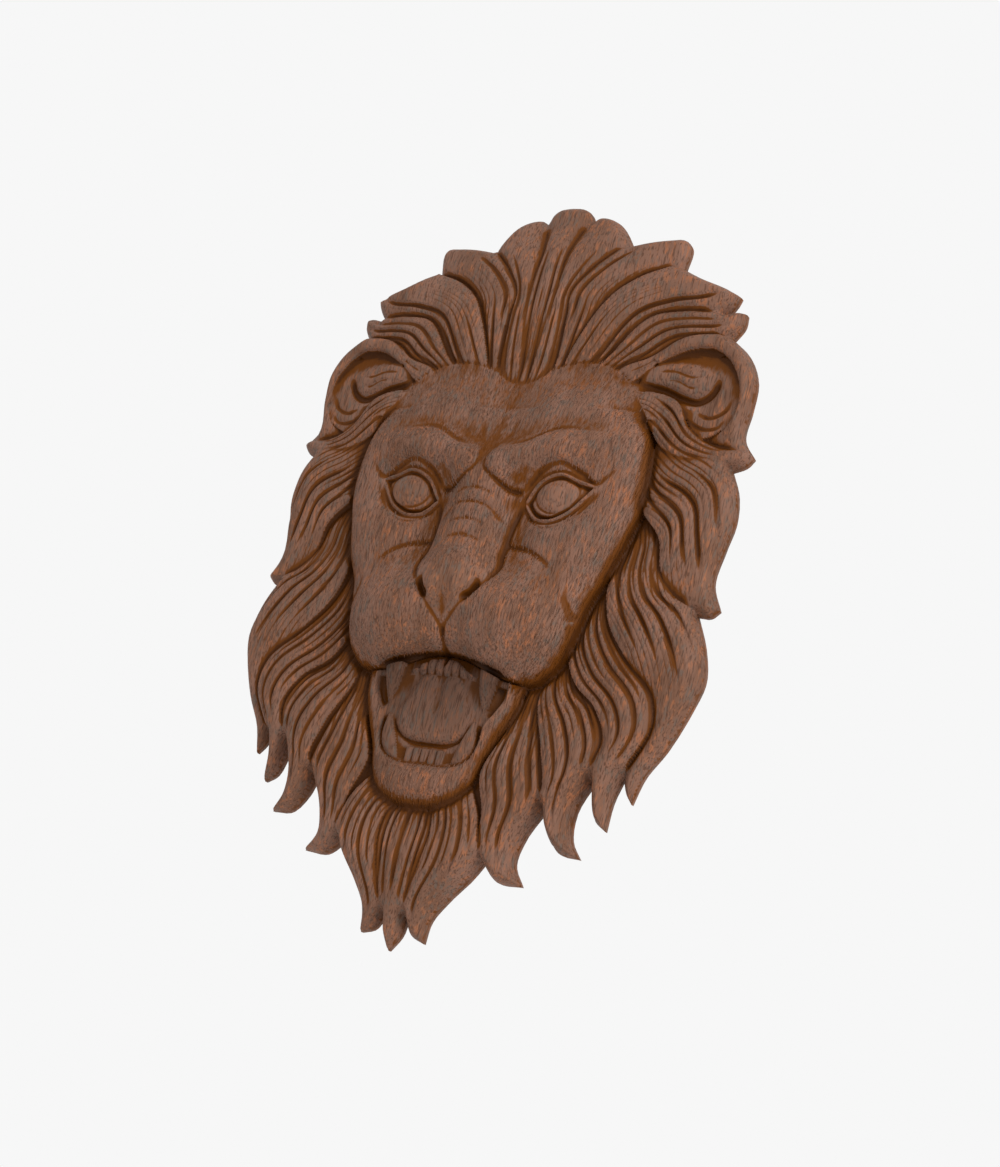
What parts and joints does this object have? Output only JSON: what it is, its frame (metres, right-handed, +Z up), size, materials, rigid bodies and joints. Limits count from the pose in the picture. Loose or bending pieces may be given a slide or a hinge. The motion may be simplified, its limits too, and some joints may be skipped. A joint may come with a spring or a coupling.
{
  "type": "carved wooden lion head wall plaque",
  "caption": "Roaring lion head carved in relief from one piece of wood, with fanned locks on top, a flowing mane and beard, and a flat back that lies on the wall.",
  "frame": {"origin": "point on the flat back face, on the middle plane of the head behind the bridge of the nose, where the plaque is fixed to the wall", "axes": "+Z up along the head, +Y out of the flat back into the wall, so the carving faces -Y; +X is the lion's left side, on the viewer's right"},
  "size_m": [0.2962, 0.0432, 0.45],
  "materials": {
    "carved_wood": "satin, oiled mid-brown wood with darker stain in the cuts"
  },
  "bodies": {
    "root": {"lion_head": "carved_wood"}
  },
  "joints": []
}
